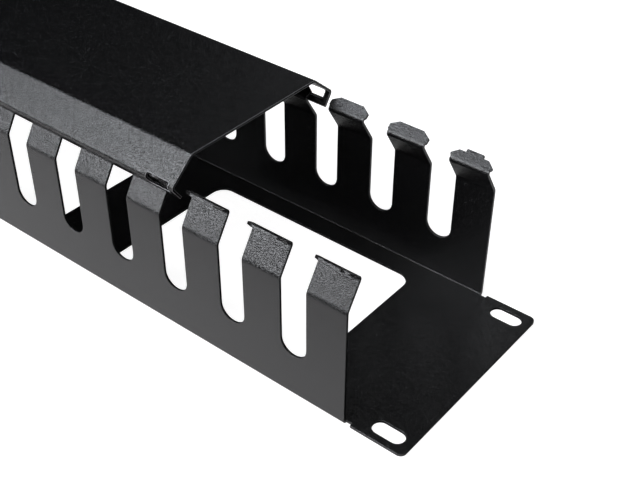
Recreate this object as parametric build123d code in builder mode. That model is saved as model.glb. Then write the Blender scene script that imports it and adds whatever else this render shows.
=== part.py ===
from build123d import *
import math
import os

# Horizontal cable manager: a folded finger panel, and a press-on cover that slides along it.
# Millimetres. The panel lies on its back face: X runs along its length, Y across the rack
# height and Z from the rack towards the front. The origin is the middle of the back face.

# Rack size
rack_unit_height = 44.45
rack_units = 2
panel_edge_gap = 0.6  # the ears are this much less high than the rack space
slot_spacing_x = 465.1
slot_length = 13.0
slot_width = 6.3
slot_end_distance = 9.85  # from a slot's middle to the end of the ear
slot_wall_distance = 14.45  # from a slot's middle to the end of the walls
slot_edge_distance = 6.35  # from a slot's middle to the edge of the rack space
ear_corner_radius = 2.5

# Sheets and bends, with each radius on the inside of its bend
panel_sheet = 1.0
cover_sheet = 1.0
plate_bend_radius = 0.6
lean_bend_radius = 2.4
nose_bend_radius = 0.8
cover_fold_radius = 0.8
lip_fold_radius = 0.8

# Fingers, counted on each side
finger_count = 16
finger_gap = 11.4
gap_floor = 18.8  # from the back face to the bottom of the round-ended gap
wall_height = 50.1  # from the back face to the fold where the finger starts to lean in
lean_angle = 32.0  # from upright
lean_length = 12.2

# Heads, folded back outwards at the finger ends
head_angle = 35.7  # above level
head_length = 5.4
head_overhang = 0.5  # wider than the finger, on each side
head_flare = 0.5  # length over which it widens
head_corner = 2.1  # length of the chamfered corners
head_tip_width = 10.8
head_round = 0.3
end_head_tip_width = 12.4
tab_width = 7.2
tab_length = 1.3  # the end heads' middle tab, past their shoulders

# Plate openings and bend reliefs
cutout_count = 3
cutout_length = 103.0
cutout_height = 68.5
cutout_radius = 6.0
fingers_per_cutout = 5
relief_width = 2.4

# Cover
cover_end_gap = 0.5  # the closed cover ends this much short of each end of the walls
cover_flat_width = 67.0
flange_slope = 40.5  # below level
lip_slope = 55.0  # below level
lip_length = 7.0
cover_clearance = 0.3  # from the head tips to the inside of the flange
cover_slid = 75.8  # from its closed place to where it stands
window_length = 10.8
window_rise = 1.4  # above the fold between flange and lip
window_drop = 3.0  # below that fold
window_radius = 0.6


def direction(angle):
    """A unit vector in the section, with Y to the right and Z up."""
    return Vector(math.cos(math.radians(angle)), math.sin(math.radians(angle)))


# Lengths that follow from the sizes above
panel_length = slot_spacing_x + 2 * slot_end_distance
channel_length = slot_spacing_x - 2 * slot_wall_distance
channel_width = rack_units * rack_unit_height
panel_height = channel_width - panel_edge_gap
slot_spacing_y = channel_width - 2 * slot_edge_distance
finger_pitch = (channel_length + finger_gap) / finger_count
cutout_pitch = fingers_per_cutout * finger_pitch
finger_width = finger_pitch - finger_gap
end_finger_x = (finger_count - 1) * finger_pitch / 2
bend_line_y = channel_width / 2 - panel_sheet - plate_bend_radius
cover_length = channel_length - 2 * cover_end_gap

# Corners of the panel's section, on the outer face of the wall at +Y
head_along = direction(head_angle)
head_normal = direction(head_angle + 90)
nose_turn = 90 + lean_angle - head_angle
head_root = nose_bend_radius * math.tan(math.radians(nose_turn / 2))
wall_foot = Vector(channel_width / 2, 0)
lean_corner = Vector(channel_width / 2, wall_height)
nose_corner = lean_corner + direction(90 + lean_angle) * lean_length
head_tip = nose_corner + head_along * head_length + head_normal * panel_sheet

# Corners of the cover's section, on its outer face. The flange passes over the head tips
# and is folded in line with the outer face of the wall.
flange_normal = direction(90 - flange_slope)
flange_reach = head_tip.dot(flange_normal) + cover_clearance + cover_sheet
cover_edge_y = cover_flat_width / 2
cover_height = (flange_reach - flange_normal.X * cover_edge_y) / flange_normal.Y
cover_edge = Vector(cover_edge_y, cover_height)
flange_corner_z = (flange_reach - flange_normal.X * channel_width / 2) / flange_normal.Y
flange_corner = Vector(channel_width / 2, flange_corner_z)
lip_tip = flange_corner + direction(180 + lip_slope) * lip_length


def head_outline(tip_width, length):
    """A head drawn flat: its Y runs along the head from the fold's outer corner."""
    with BuildSketch() as outline:
        with BuildLine():
            Polyline(
                (0, head_root),
                (finger_width / 2, head_root),
                (finger_width / 2 + head_overhang, head_root + head_flare),
                (finger_width / 2 + head_overhang, length - head_corner),
                (tip_width / 2, length),
                (0, length),
            )
            mirror(about=Plane.YZ)
        make_face()
        fillet(outline.vertices().group_by(Axis.Y)[2:], head_round)
    return outline.sketch


plain_head = head_outline(head_tip_width, head_length)

# The end heads have lower shoulders and a tab that meets the cover's window
with BuildSketch() as end_head:
    add(head_outline(end_head_tip_width, head_length - tab_length))
    with Locations((0, head_root)):
        Rectangle(tab_width, head_length - head_root, align=(Align.CENTER, Align.MIN))
    fillet(end_head.vertices().group_by(Axis.Y)[-1], head_round)

# Finger panel: one sheet, folded into a channel with its walls cut into fingers
with BuildPart() as finger_panel:
    with BuildSketch(Plane.YZ):
        with BuildLine():
            FilletPolyline(
                (0, 0),
                wall_foot,
                lean_corner,
                nose_corner,
                nose_corner + head_along * (head_root + head_flare),
                radius=(
                    plate_bend_radius + panel_sheet,
                    lean_bend_radius + panel_sheet,
                    nose_bend_radius,
                ),
            )
            offset(amount=panel_sheet, side=Side.LEFT)
        make_face()
        mirror(about=Plane.YZ)
    extrude(amount=channel_length / 2, both=True)

    # Round-ended gaps between the fingers, through both walls
    with BuildSketch(Plane.XZ):
        with GridLocations(finger_pitch, 0, finger_count - 1, 1):
            with Locations((0, gap_floor + finger_gap / 2)):
                Circle(finger_gap / 2)
                Rectangle(finger_gap, wall_height + lean_length, align=(Align.CENTER, Align.MIN))
    extrude(amount=channel_width, both=True, mode=Mode.SUBTRACT)

    # Ears, with a relief beside each end of the two lower folds
    with BuildSketch():
        Rectangle(panel_length, panel_height)
        fillet(vertices(), ear_corner_radius)
        Rectangle(channel_length + 2 * relief_width, panel_height, mode=Mode.SUBTRACT)
        Rectangle(channel_length + 2 * relief_width, 2 * bend_line_y)
    extrude(amount=panel_sheet)

    # Mounting slots and the large openings in the plate
    with BuildSketch():
        with GridLocations(slot_spacing_x, slot_spacing_y, 2, 2):
            SlotOverall(slot_length, slot_width)
        with GridLocations(cutout_pitch, 0, cutout_count, 1):
            RectangleRounded(cutout_length, cutout_height, cutout_radius)
    extrude(amount=panel_sheet, mode=Mode.SUBTRACT)

    # Heads, drawn on the lower face of the fold at +Y and mirrored to the other wall
    head_plane = Plane(
        origin=(0, nose_corner.X, nose_corner.Y),
        x_dir=(1, 0, 0),
        z_dir=(0, head_normal.X, head_normal.Y),
    )
    with BuildSketch(head_plane):
        with GridLocations(finger_pitch, 0, finger_count - 2, 1):
            add(plain_head)
        with GridLocations(2 * end_finger_x, 0, 2, 1):
            add(end_head.sketch)
    heads = extrude(amount=panel_sheet)
    mirror(heads, about=Plane.XZ)

finger_panel.part.label = "finger_panel"

# Cover: one sheet with a sloping flange and a folded-in lip along each side
with BuildPart() as cover:
    with BuildSketch(Plane.YZ.offset(-cover_slid)):
        with BuildLine():
            FilletPolyline(
                (0, cover_height),
                cover_edge,
                flange_corner,
                lip_tip,
                radius=(cover_fold_radius + cover_sheet, lip_fold_radius + cover_sheet),
            )
            offset(amount=cover_sheet, side=Side.RIGHT)
        make_face()
        mirror(about=Plane.YZ)
    extrude(amount=cover_length / 2, both=True)

    # A window at each end of each flange, over the tab of the end finger when closed
    with BuildSketch(Plane.XZ):
        with Locations((-cover_slid, flange_corner.Y + (window_rise - window_drop) / 2)):
            with GridLocations(2 * end_finger_x, 0, 2, 1):
                RectangleRounded(window_length, window_rise + window_drop, window_radius)
    extrude(amount=channel_width, both=True, mode=Mode.SUBTRACT)

cover.part.label = "cover"

os.makedirs("parts", exist_ok=True)
export_step(finger_panel.part, "parts/finger_panel.step")
export_step(cover.part, "parts/cover.step")
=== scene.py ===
import math

import bpy
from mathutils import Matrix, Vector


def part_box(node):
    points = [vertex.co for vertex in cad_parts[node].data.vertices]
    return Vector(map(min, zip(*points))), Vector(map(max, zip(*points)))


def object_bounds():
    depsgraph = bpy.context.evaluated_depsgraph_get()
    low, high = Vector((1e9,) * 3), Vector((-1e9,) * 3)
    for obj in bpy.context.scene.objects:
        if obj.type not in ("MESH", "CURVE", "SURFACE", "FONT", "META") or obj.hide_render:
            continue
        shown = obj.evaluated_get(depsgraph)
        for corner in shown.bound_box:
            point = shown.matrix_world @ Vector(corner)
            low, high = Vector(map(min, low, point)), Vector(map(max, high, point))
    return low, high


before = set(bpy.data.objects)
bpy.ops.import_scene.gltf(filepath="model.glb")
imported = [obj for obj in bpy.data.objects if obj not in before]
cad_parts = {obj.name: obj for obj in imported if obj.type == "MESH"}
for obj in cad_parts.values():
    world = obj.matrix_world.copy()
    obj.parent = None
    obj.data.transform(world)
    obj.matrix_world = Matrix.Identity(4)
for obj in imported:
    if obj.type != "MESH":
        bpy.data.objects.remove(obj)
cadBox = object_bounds()
print("frame loaded:", ", ".join(sorted(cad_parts)))


def addNode(tree, kind, inputs=None, **settings):
    node = tree.nodes.new(kind)
    for name, value in settings.items():
        setattr(node, name, value)
    for name, value in (inputs or {}).items():
        node.inputs[name].default_value = value
    return node


def newGroup(name, inputs, outputs):
    group = bpy.data.node_groups.new(name, "ShaderNodeTree")
    for label, kind, value in inputs:
        socket = group.interface.new_socket(label, in_out="INPUT", socket_type=kind)
        socket.default_value = value
    for label, kind in outputs:
        group.interface.new_socket(label, in_out="OUTPUT", socket_type=kind)
    return group, group.nodes.new("NodeGroupInput"), group.nodes.new("NodeGroupOutput")


def placeGroup(tree, group, values):
    node = tree.nodes.new("ShaderNodeGroup")
    node.node_tree = group
    for name, value in values.items():
        node.inputs[name].default_value = value
    return node


def mathNode(tree, operation, first, second=None, clamp=False):
    node = addNode(tree, "ShaderNodeMath", operation=operation, use_clamp=clamp)
    for socket, source in zip(node.inputs, (first, second)):
        if isinstance(source, (int, float)):
            socket.default_value = source
        elif source is not None:
            tree.links.new(source, socket)
    return node.outputs[0]


def mixColours(tree, factor, first, second):
    node = addNode(tree, "ShaderNodeMix", data_type="RGBA")
    colourSockets = (node.inputs[0], node.inputs[6], node.inputs[7])  # factor, A and B of a colour mix
    for socket, source in zip(colourSockets, (factor, first, second)):
        if isinstance(source, (int, float, tuple)):
            socket.default_value = source
        else:
            tree.links.new(source, socket)
    return node.outputs[2]


# Grain of a fine-textured powder coat: rounded pebbles with creases between them, under a finer noise
grainShape = {
    "wander": 0.0006,  # how far the outlines of the pebbles stray
    "wanderDetail": 2.0,
    "wanderRoughness": 0.5,
    "pebbleShare": 0.6,
    "fineShare": 0.9,
    "finePerPebble": 1.4,
    "fineDetail": 1.0,
    "fineRoughness": 0.4,
}


def makePowderGrain():
    tree, given, result = newGroup(
        "powderGrain",
        [("Grains per metre", "NodeSocketFloat", 1600.0), ("Crease width", "NodeSocketFloat", 0.5)],
        [("Height", "NodeSocketFloat"), ("Crease", "NodeSocketFloat")],
    )
    link = tree.links.new
    place = addNode(tree, "ShaderNodeTexCoord").outputs["Object"]

    wander = addNode(tree, "ShaderNodeTexNoise", {
        "Detail": grainShape["wanderDetail"], "Roughness": grainShape["wanderRoughness"],
    })
    link(place, wander.inputs["Vector"])
    link(given.outputs["Grains per metre"], wander.inputs["Scale"])
    stray = addNode(tree, "ShaderNodeVectorMath", {"Scale": grainShape["wander"]}, operation="SCALE")
    link(wander.outputs["Color"], stray.inputs[0])
    bentPlace = addNode(tree, "ShaderNodeVectorMath", operation="ADD")
    link(place, bentPlace.inputs[0])
    link(stray.outputs[0], bentPlace.inputs[1])

    pebbles = addNode(tree, "ShaderNodeTexVoronoi", {"Randomness": 1.0}, feature="DISTANCE_TO_EDGE")
    link(bentPlace.outputs[0], pebbles.inputs["Vector"])
    link(given.outputs["Grains per metre"], pebbles.inputs["Scale"])
    pebbleTop = addNode(tree, "ShaderNodeMapRange", interpolation_type="SMOOTHSTEP")
    link(pebbles.outputs["Distance"], pebbleTop.inputs["Value"])
    link(given.outputs["Crease width"], pebbleTop.inputs["From Max"])

    fine = addNode(tree, "ShaderNodeTexNoise", {
        "Detail": grainShape["fineDetail"], "Roughness": grainShape["fineRoughness"],
    })
    link(place, fine.inputs["Vector"])
    link(mathNode(tree, "MULTIPLY", given.outputs["Grains per metre"], grainShape["finePerPebble"]),
         fine.inputs["Scale"])
    height = mathNode(tree, "ADD",
                      mathNode(tree, "MULTIPLY", pebbleTop.outputs[0], grainShape["pebbleShare"]),
                      mathNode(tree, "MULTIPLY", fine.outputs["Fac"], grainShape["fineShare"]))
    link(height, result.inputs["Height"])
    link(mathNode(tree, "SUBTRACT", 1.0, pebbleTop.outputs[0], clamp=True), result.inputs["Crease"])
    return tree


# Broad, faint clouds: the coat is not quite even, and hands and packing have polished it a little
cloudShape = {"detail": 4.0, "roughness": 0.55, "lowest": 0.3, "highest": 0.7}


def makeCoatClouds():
    tree, given, result = newGroup(
        "coatClouds",
        [("Clouds per metre", "NodeSocketFloat", 14.0), ("Lowest", "NodeSocketFloat", 0.15),
         ("Highest", "NodeSocketFloat", 0.2)],
        [("Value", "NodeSocketFloat")],
    )
    link = tree.links.new
    cloud = addNode(tree, "ShaderNodeTexNoise", {
        "Detail": cloudShape["detail"], "Roughness": cloudShape["roughness"],
    })
    link(addNode(tree, "ShaderNodeTexCoord").outputs["Object"], cloud.inputs["Vector"])
    link(given.outputs["Clouds per metre"], cloud.inputs["Scale"])
    spread = addNode(tree, "ShaderNodeMapRange", {
        "From Min": cloudShape["lowest"], "From Max": cloudShape["highest"],
    })
    link(cloud.outputs["Fac"], spread.inputs["Value"])
    link(given.outputs["Lowest"], spread.inputs["To Min"])
    link(given.outputs["Highest"], spread.inputs["To Max"])
    link(spread.outputs[0], result.inputs["Value"])
    return tree


# Cut edges: a small rounding in the normal, and a mask where it turns away from the face
edgeShape = {"samples": 6, "flatCosine": 0.998, "turnedCosine": 0.92}


def makeRoundedEdges():
    tree, given, result = newGroup(
        "roundedEdges",
        [("Radius", "NodeSocketFloat", 0.0004)],
        [("Normal", "NodeSocketVector"), ("Edge", "NodeSocketFloat")],
    )
    link = tree.links.new
    rounding = addNode(tree, "ShaderNodeBevel", samples=edgeShape["samples"])
    link(given.outputs["Radius"], rounding.inputs["Radius"])
    facing = addNode(tree, "ShaderNodeVectorMath", operation="DOT_PRODUCT")
    link(rounding.outputs[0], facing.inputs[0])
    link(addNode(tree, "ShaderNodeNewGeometry").outputs["Normal"], facing.inputs[1])
    turned = addNode(tree, "ShaderNodeMapRange", {
        "From Min": edgeShape["flatCosine"], "From Max": edgeShape["turnedCosine"],
    }, interpolation_type="SMOOTHSTEP")
    link(facing.outputs["Value"], turned.inputs["Value"])
    link(rounding.outputs[0], result.inputs["Normal"])
    link(turned.outputs[0], result.inputs["Edge"])
    return tree


powderGrain = makePowderGrain()
coatClouds = makeCoatClouds()
roundedEdges = makeRoundedEdges()
print("coat effects made")


def makeCoat(name, coat):
    material = bpy.data.materials.new(name)
    material.use_nodes = True
    tree = material.node_tree
    tree.nodes.clear()
    link = tree.links.new
    surface = addNode(tree, "ShaderNodeBsdfPrincipled", {"Specular IOR Level": coat["shine"]})
    output = addNode(tree, "ShaderNodeOutputMaterial")
    link(surface.outputs[0], output.inputs["Surface"])

    grain = placeGroup(tree, powderGrain, {
        "Grains per metre": coat["grainsPerMetre"], "Crease width": coat["creaseWidth"],
    })
    edges = placeGroup(tree, roundedEdges, {"Radius": coat["edgeRadius"]})
    clouds = placeGroup(tree, coatClouds, {
        "Clouds per metre": coat["cloudsPerMetre"],
        "Lowest": coat["roughness"][0], "Highest": coat["roughness"][1],
    })

    # Painted shade: the creases of the grain get a darker colour
    creaseShadedBody = mixColours(tree, grain.outputs["Crease"], coat["colour"], coat["creaseShadeColour"])
    # Painted highlight along the cut edges, together with some wear of the coat: the edges get a
    # lighter colour, much more on the cover
    edgeHighlightAndWearAmount = mathNode(tree, "MULTIPLY", edges.outputs["Edge"], coat["edgeHighlightAndWearShare"])
    link(mixColours(tree, edgeHighlightAndWearAmount, creaseShadedBody, coat["paintedEdgeHighlightColour"]), surface.inputs["Base Color"])
    roughness = mathNode(tree, "SUBTRACT", clouds.outputs["Value"],
                         mathNode(tree, "MULTIPLY", edgeHighlightAndWearAmount, coat["edgePolish"]), clamp=True)
    link(roughness, surface.inputs["Roughness"])
    bump = addNode(tree, "ShaderNodeBump", {"Strength": 1.0, "Distance": coat["grainDepth"]})
    link(grain.outputs["Height"], bump.inputs["Height"])
    link(edges.outputs["Normal"], bump.inputs["Normal"])
    link(bump.outputs[0], surface.inputs["Normal"])
    return material


def coatPiece(nodeName, material):
    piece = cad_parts[nodeName]
    piece.data.materials.clear()
    piece.data.materials.append(material)


# Finger panel
panelCoat = {
    "colour": (0.005, 0.005, 0.0054, 1.0),
    "creaseShadeColour": (0.003, 0.003, 0.0033, 1.0),
    "shine": 0.8,
    "roughness": (0.15, 0.2),
    "grainsPerMetre": 1600.0,
    "creaseWidth": 0.5,
    "grainDepth": 0.00013,
    "cloudsPerMetre": 14.0,
    "edgeRadius": 0.0004,
    "paintedEdgeHighlightColour": (0.12, 0.12, 0.125, 1.0),
    "edgeHighlightAndWearShare": 0.3,
    "edgePolish": 0.1,
}
coatPiece("finger_panel", makeCoat("panelPowderCoat", panelCoat))

# Cover
coverCoat = {
    "colour": (0.005, 0.005, 0.0054, 1.0),
    "creaseShadeColour": (0.003, 0.003, 0.0033, 1.0),
    "shine": 0.8,
    "roughness": (0.15, 0.2),
    "grainsPerMetre": 1600.0,
    "creaseWidth": 0.5,
    "grainDepth": 0.00014,
    "cloudsPerMetre": 11.0,
    "edgeRadius": 0.0005,
    "paintedEdgeHighlightColour": (0.45, 0.45, 0.47, 1.0),
    "edgeHighlightAndWearShare": 0.65,
    "edgePolish": 0.1,
}
coatPiece("cover", makeCoat("coverPowderCoat", coverCoat))
print("powder coat placed")


# Floor: pale, seen white by the camera and in reflections, with painted shade in what reflections show
# of it, and it keeps the shadow
floorLook = {
    "size": 14.0,
    "drop": 0.0002,  # below the back face, so that the two don't flicker
    "colour": (0.51, 0.495, 0.495, 1.0),
    "whiteness": 0.92,
    "whiteInReflections": 0.3,
    "channelShadeShare": 0.03,  # of that white, inside the channel
    "channelFade": 0.004,
    "litReach": 0.095,  # across the channel, from its middle
    "darkFrom": 0.17,
    "paintedShadeShare": 0.04,
}


def makeFloorPaper():
    material = bpy.data.materials.new("floorPaper")
    material.use_nodes = True
    tree = material.node_tree
    tree.nodes.clear()
    link = tree.links.new
    rays = addNode(tree, "ShaderNodeLightPath")
    mirrored = mathNode(tree, "ADD", rays.outputs["Is Glossy Ray"],
                        rays.outputs["Is Transmission Ray"], clamp=True)
    position = addNode(tree, "ShaderNodeSeparateXYZ")
    link(addNode(tree, "ShaderNodeNewGeometry").outputs["Position"], position.inputs[0])
    across = mathNode(tree, "ABSOLUTE", position.outputs["Y"])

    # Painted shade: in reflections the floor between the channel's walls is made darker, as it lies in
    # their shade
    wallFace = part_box("finger_panel")[1][1]
    outsideChannel = addNode(tree, "ShaderNodeMapRange", {
        "From Min": wallFace - floorLook["channelFade"], "From Max": wallFace,
        "To Min": floorLook["channelShadeShare"], "To Max": 1.0,
    })
    link(across, outsideChannel.inputs["Value"])

    # Painted shade: further out, reflections show the floor darker, as if it lay away from the lamps,
    # which leaves the folds their dark line
    paintedLampFalloff = addNode(tree, "ShaderNodeMapRange", {
        "From Min": floorLook["litReach"], "From Max": floorLook["darkFrom"],
        "To Min": 1.0, "To Max": floorLook["paintedShadeShare"],
    })
    link(across, paintedLampFalloff.inputs["Value"])
    paintedLightInReflections = mathNode(tree, "MULTIPLY", outsideChannel.outputs[0], paintedLampFalloff.outputs[0])

    paper = addNode(tree, "ShaderNodeBsdfDiffuse")
    # In reflections the paper colour carries the same painted shade
    shadedMirroredPaper = mixColours(tree, paintedLightInReflections, (0.0, 0.0, 0.0, 1.0), floorLook["colour"])
    link(mixColours(tree, mirrored, floorLook["colour"], shadedMirroredPaper), paper.inputs["Color"])
    white = addNode(tree, "ShaderNodeEmission", {"Color": (1.0, 1.0, 1.0, 1.0)})
    seenWhite = mathNode(tree, "MULTIPLY", rays.outputs["Is Camera Ray"], floorLook["whiteness"])
    mirroredWhite = mathNode(tree, "MULTIPLY", paintedLightInReflections, floorLook["whiteInReflections"])
    link(mathNode(tree, "ADD", seenWhite, mathNode(tree, "MULTIPLY", mirrored, mirroredWhite)),
         white.inputs["Strength"])
    both = addNode(tree, "ShaderNodeAddShader")
    link(paper.outputs[0], both.inputs[0])
    link(white.outputs[0], both.inputs[1])
    link(both.outputs[0], addNode(tree, "ShaderNodeOutputMaterial").inputs["Surface"])
    return material


half = floorLook["size"] / 2
floorMesh = bpy.data.meshes.new("floor")
floorMesh.from_pydata(
    [(-half, -half, 0), (half, -half, 0), (half, half, 0), (-half, half, 0)], [], [(0, 1, 2, 3)])
floorMesh.materials.append(makeFloorPaper())
floor = bpy.data.objects.new("floor", floorMesh)
floor.location.z = cadBox[0][2] - floorLook["drop"]
bpy.context.collection.objects.link(floor)
print("floor placed")


# Light: a tall soft box at the front left, a small one above it, a strip along the front, and weak
# ones behind and on top, in a dim room. Bearings are in degrees from +X towards +Y, heights in
# degrees above the floor, and each box faces the origin.
softBoxes = {
    "keyLight": {"bearing": -127, "height": 35, "distance": 1.75, "size": (0.72, 1.8), "watts": 27.0,
                 "colour": (0.93, 0.955, 1.0)},
    "upperLight": {"bearing": -157, "height": 55, "distance": 1.75, "size": (0.5, 0.5), "watts": 5.5,
                   "colour": (0.88, 0.93, 1.0)},
    "frontLight": {"bearing": -76, "height": 38, "distance": 1.7, "size": (1.9, 0.3), "watts": 13.0,
                   "colour": (1.0, 1.0, 1.0)},
    "backLight": {"bearing": 108, "height": 28, "distance": 1.7, "size": (0.7, 0.7), "watts": 0.95,
                  "colour": (0.95, 0.97, 1.0)},
    "topLight": {"bearing": 0, "height": 88, "distance": 1.7, "size": (0.9, 0.9), "watts": 2.0,
                 "colour": (1.0, 1.0, 1.0)},
}


def addSoftBox(name, box):
    lamp = bpy.data.lights.new(name, "AREA")
    lamp.shape = "RECTANGLE"
    lamp.size, lamp.size_y = box["size"]
    lamp.energy = box["watts"]
    lamp.color = box["colour"]
    bearing, height = math.radians(box["bearing"]), math.radians(box["height"])
    stand = bpy.data.objects.new(name, lamp)
    stand.location = (
        box["distance"] * math.cos(height) * math.cos(bearing),
        box["distance"] * math.cos(height) * math.sin(bearing),
        box["distance"] * math.sin(height),
    )
    stand.rotation_euler = (math.pi / 2 - height, 0.0, bearing + math.pi / 2)
    bpy.context.collection.objects.link(stand)


for boxName, boxLook in softBoxes.items():
    addSoftBox(boxName, boxLook)

# Room: a dim light on the object, and white where the camera sees it
roomLook = {
    "colour": (0.9, 0.95, 1.0, 1.0),
    "strength": 0.012,
    "seenColour": (1.0, 1.0, 1.0, 1.0),
    "seenStrength": 1.0,
}
room = bpy.data.worlds.new("room")
bpy.context.scene.world = room
room.use_nodes = True
roomTree = room.node_tree
roomTree.nodes.clear()
air = addNode(roomTree, "ShaderNodeBackground", {
    "Color": roomLook["colour"], "Strength": roomLook["strength"],
})
backdrop = addNode(roomTree, "ShaderNodeBackground", {
    "Color": roomLook["seenColour"], "Strength": roomLook["seenStrength"],
})
choice = addNode(roomTree, "ShaderNodeMixShader")
roomTree.links.new(addNode(roomTree, "ShaderNodeLightPath").outputs["Is Camera Ray"], choice.inputs[0])
roomTree.links.new(air.outputs[0], choice.inputs[1])
roomTree.links.new(backdrop.outputs[0], choice.inputs[2])
roomTree.links.new(choice.outputs[0], addNode(roomTree, "ShaderNodeOutputWorld").inputs["Surface"])
print("lights placed")


# Camera, where the photograph was taken from
cameraView = {
    "place": (0.37037, -0.24945, 0.27486),
    "turnDegrees": (52.576, -0.418, 38.859),
    "lens": 60.769,
    "sensorWidth": 36.0,
    "nearest": 0.01,
}
cameraData = bpy.data.cameras.new("mainCamera")
cameraData.lens = cameraView["lens"]
cameraData.sensor_width = cameraView["sensorWidth"]
cameraData.clip_start = cameraView["nearest"]
mainCamera = bpy.data.objects.new("mainCamera", cameraData)
mainCamera.location = cameraView["place"]
mainCamera.rotation_euler = [math.radians(angle) for angle in cameraView["turnDegrees"]]
bpy.context.collection.objects.link(mainCamera)
bpy.context.scene.camera = mainCamera
bpy.context.scene.view_settings.view_transform = "Standard"
print("camera placed")
